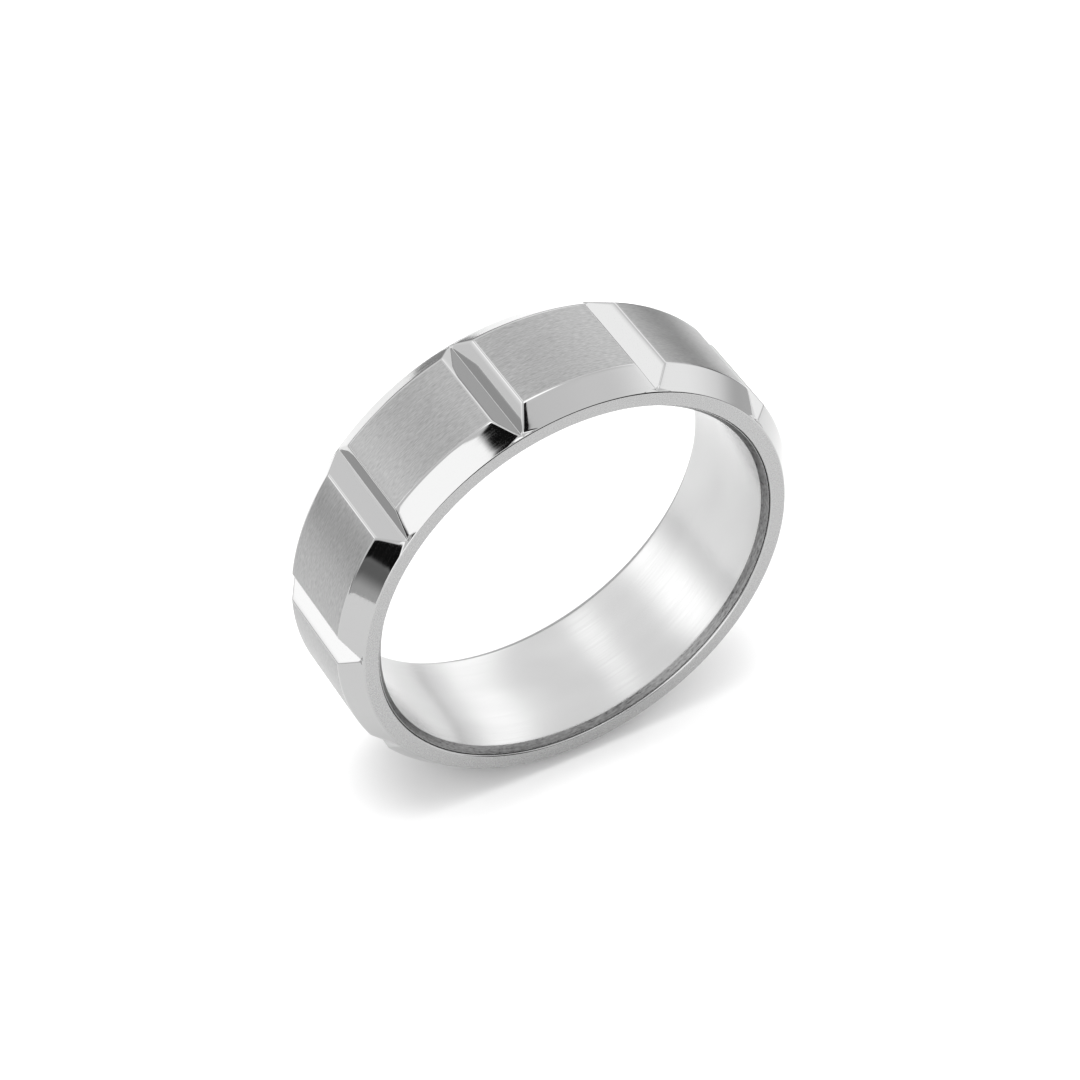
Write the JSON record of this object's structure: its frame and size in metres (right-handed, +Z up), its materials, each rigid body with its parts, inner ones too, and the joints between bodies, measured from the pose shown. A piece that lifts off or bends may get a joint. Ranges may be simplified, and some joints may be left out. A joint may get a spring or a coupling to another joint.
{
  "type": "wedding band",
  "caption": "Flat-profile wedding band with satin panels between crosswise V-grooves, polished bevelled sides and a comfort-fit inner sleeve.",
  "frame": {"origin": "centre of the finger bore, on the finger axis half way across the band's width", "axes": "Y along the finger axis, so the band stands on its edge; +Z up; angles round the band start at +X and run towards +Z"},
  "size_m": [0.024, 0.007, 0.024],
  "materials": {
    "satin_white_gold": "fine circumferential satin on the panels, polished grooves, bevels and rims",
    "polished_white_gold": "mirror polished"
  },
  "bodies": {
    "root": {"outer_band": "satin_white_gold", "comfort_sleeve": "polished_white_gold"}
  },
  "joints": []
}
